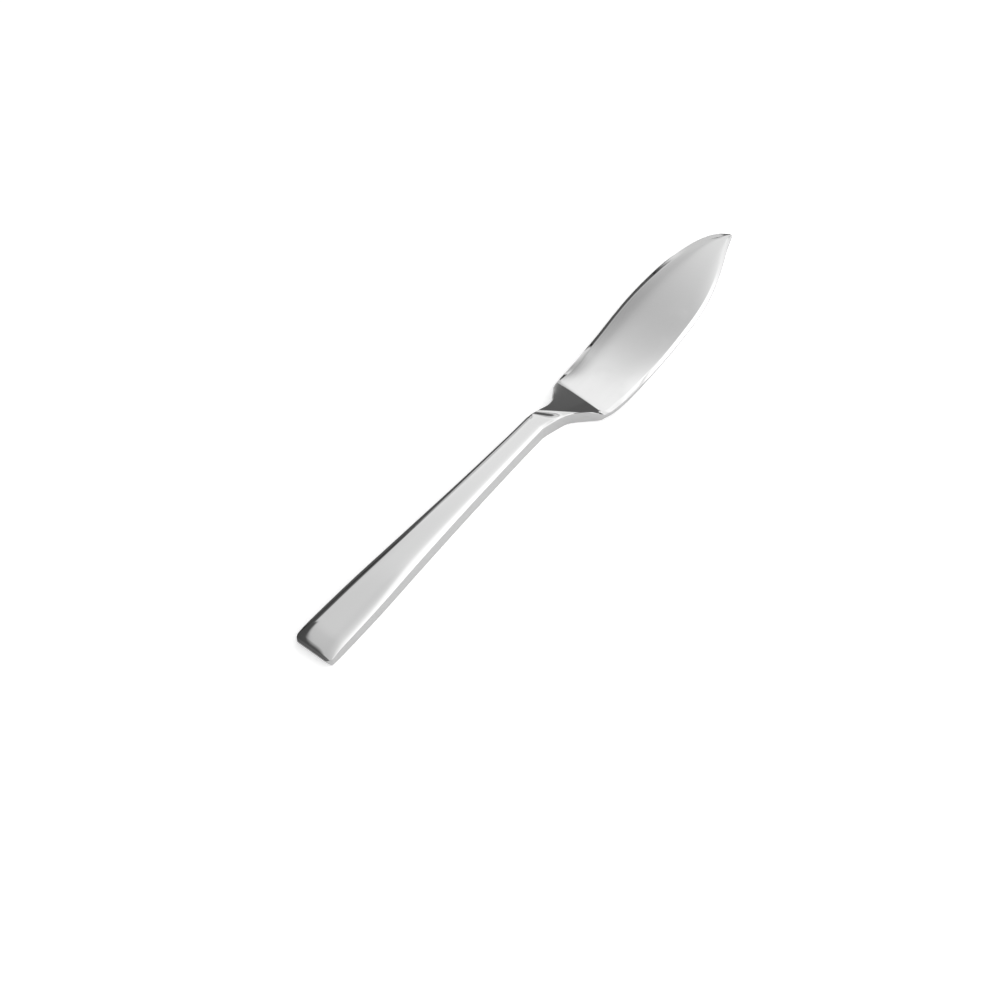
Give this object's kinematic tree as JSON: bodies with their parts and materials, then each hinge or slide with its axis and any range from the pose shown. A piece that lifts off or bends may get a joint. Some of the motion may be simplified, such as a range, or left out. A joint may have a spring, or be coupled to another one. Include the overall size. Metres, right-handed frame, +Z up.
{
  "type": "fish knife",
  "caption": "Table fish knife of polished stainless steel: square-ended tapering hollow handle, thick waisted neck and a broad, blunt, leaf-shaped blade with a stepped shoulder.",
  "frame": {"origin": "the middle of the flat land under the handle, on the middle line of the handle", "axes": "X along the knife from the square end of the handle towards the tip of the blade, Y across it from the cutting side to the back, Z up from the land it rests on"},
  "size_m": [0.2094, 0.0253, 0.0072],
  "materials": {
    "polished_steel": "mirror-polished stainless steel with fine hairlines from use",
    "handle_cement": "set resin cement, matt and slightly grainy, hidden inside the handle"
  },
  "bodies": {
    "root": {"blade": "polished_steel", "handle_upper_shell": "polished_steel", "handle_lower_shell": "polished_steel", "handle_filler": "handle_cement"}
  },
  "joints": []
}
